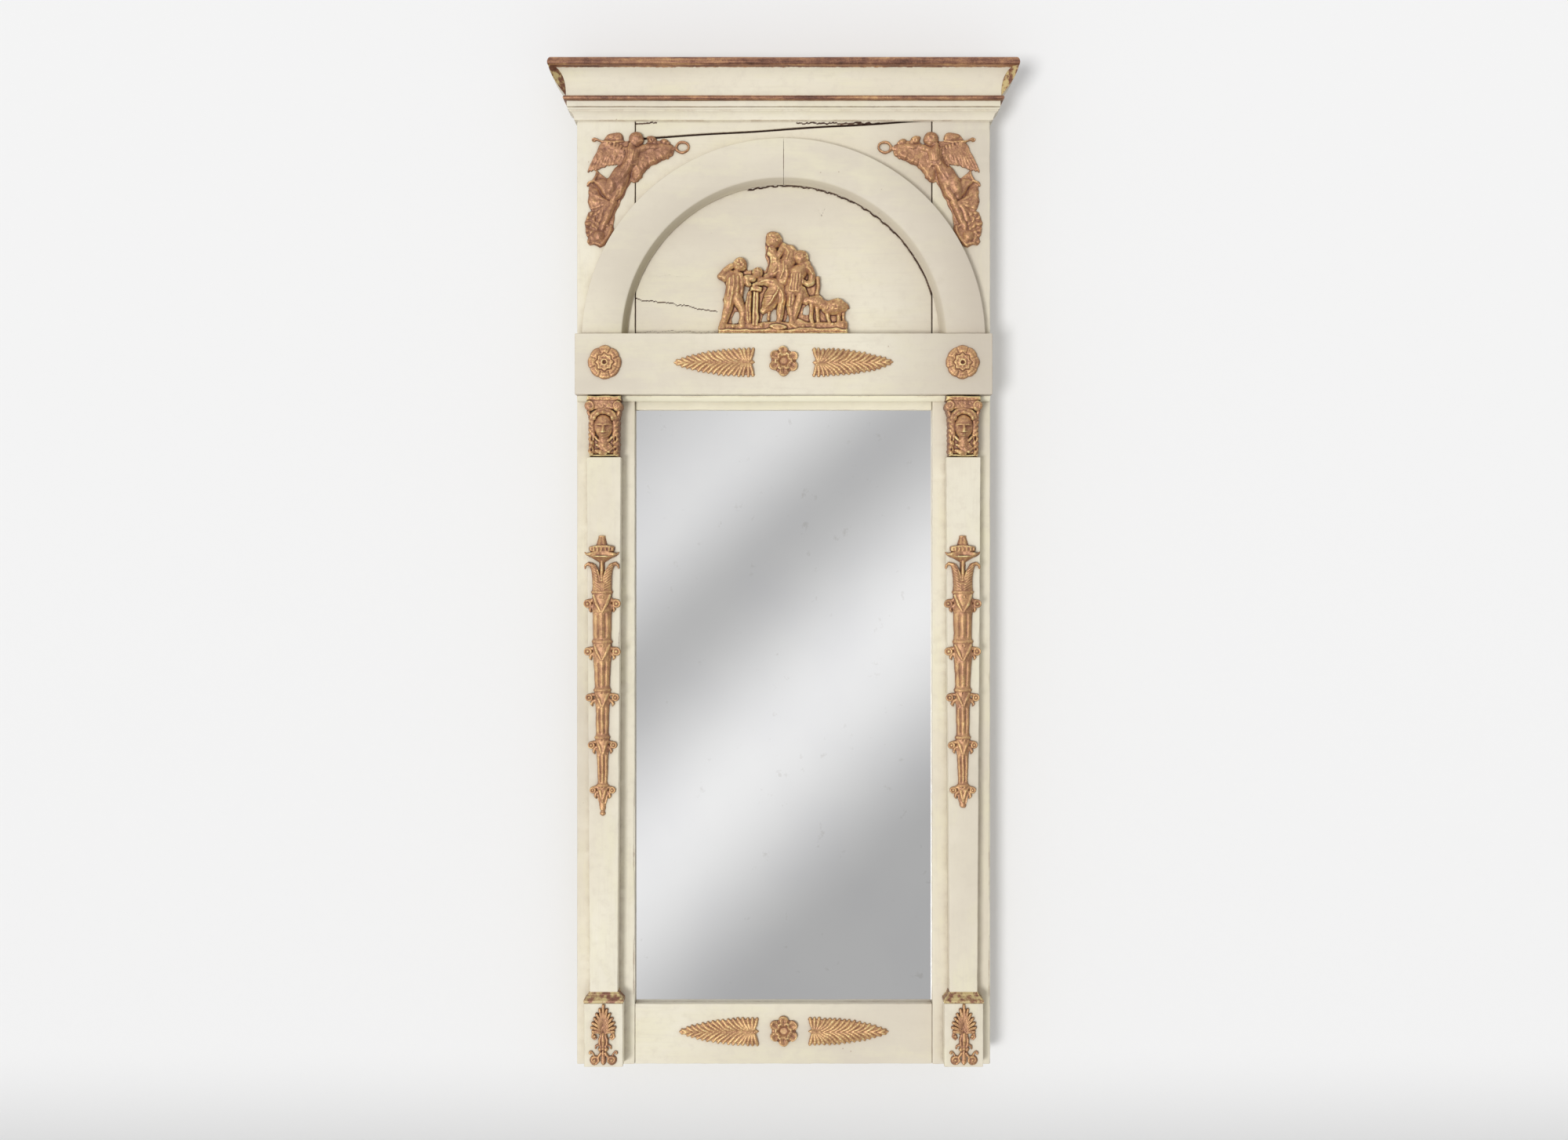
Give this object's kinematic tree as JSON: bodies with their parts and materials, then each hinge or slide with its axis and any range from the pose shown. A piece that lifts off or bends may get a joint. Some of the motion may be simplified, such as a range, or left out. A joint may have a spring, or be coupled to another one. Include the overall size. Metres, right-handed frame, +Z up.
{
  "type": "trumeau mirror",
  "caption": "Tall wall mirror with a painted wooden frame, arched upper panel, tapering pilasters, projecting cornice and gilt mounts.",
  "frame": {"origin": "middle of the hanging batten's back face, in the wall plane", "axes": "+Z up, +X to the right seen from the front, the glass faces -Y and the wall is on the +Y side"},
  "size_m": [0.699, 0.0812, 1.499],
  "materials": {
    "cream_paint": "satin",
    "antique_gilding": "satin",
    "rubbed_gilding": "satin",
    "silvered_glass": "polished",
    "bare_pine": "matt",
    "iron": "matt"
  },
  "bodies": {
    "frame": {"left_stile": "cream_paint", "right_stile": "cream_paint", "bottom_rail": "cream_paint", "head_rail": "cream_paint", "upper_panel": "cream_paint", "upper_panel_strip": "cream_paint", "arch_band_left": "cream_paint", "arch_band_right": "cream_paint", "frieze_board": "cream_paint", "frieze_bed_strip": "cream_paint", "left_pilaster": "cream_paint", "right_pilaster": "cream_paint", "left_plinth_block": "cream_paint", "right_plinth_block": "cream_paint", "bed_moulding_front": "cream_paint", "bed_moulding_left": "cream_paint", "bed_moulding_right": "cream_paint", "cornice_crown_front": "cream_paint", "cornice_crown_left": "cream_paint", "cornice_crown_right": "cream_paint", "left_plinth_cap": "rubbed_gilding", "right_plinth_cap": "rubbed_gilding", "left_capital": "antique_gilding", "right_capital": "antique_gilding", "left_torch": "antique_gilding", "right_torch": "antique_gilding", "left_palmette": "antique_gilding", "right_palmette": "antique_gilding", "frieze_leaf_left": "antique_gilding", "frieze_leaf_right": "antique_gilding", "base_leaf_left": "antique_gilding", "base_leaf_right": "antique_gilding", "frieze_rosette": "antique_gilding", "base_rosette": "antique_gilding", "corner_rosette_left": "antique_gilding", "corner_rosette_right": "antique_gilding", "left_spandrel_figure": "antique_gilding", "right_spandrel_figure": "antique_gilding", "tympanum_group": "antique_gilding", "mirror_glass": "silvered_glass", "back_board_1": "bare_pine", "back_board_2": "bare_pine", "back_board_3": "bare_pine", "hanging_batten": "bare_pine", "cornice_top_board": "bare_pine", "left_sprig_1": "iron", "left_sprig_2": "iron", "left_sprig_3": "iron", "right_sprig_1": "iron", "right_sprig_2": "iron", "right_sprig_3": "iron", "left_hanger_plate": "iron", "right_hanger_plate": "iron", "left_hanger_screw_1": "iron", "left_hanger_screw_2": "iron", "right_hanger_screw_1": "iron", "right_hanger_screw_2": "iron"},
    "left_ring": {"left_hanger_ring": "iron"},
    "right_ring": {"right_hanger_ring": "iron"}
  },
  "joints": [
    {"name": "left_ring_swing", "type": "hinge", "parent": "frame", "child": "left_ring", "pos_m": [-0.267, 0.0047, 0.0356], "axis": [1, 0, 0], "range_deg": [0, 175]},
    {"name": "right_ring_swing", "type": "hinge", "parent": "frame", "child": "right_ring", "pos_m": [0.267, 0.0047, 0.0356], "axis": [1, 0, 0], "range_deg": [0, 175]}
  ]
}
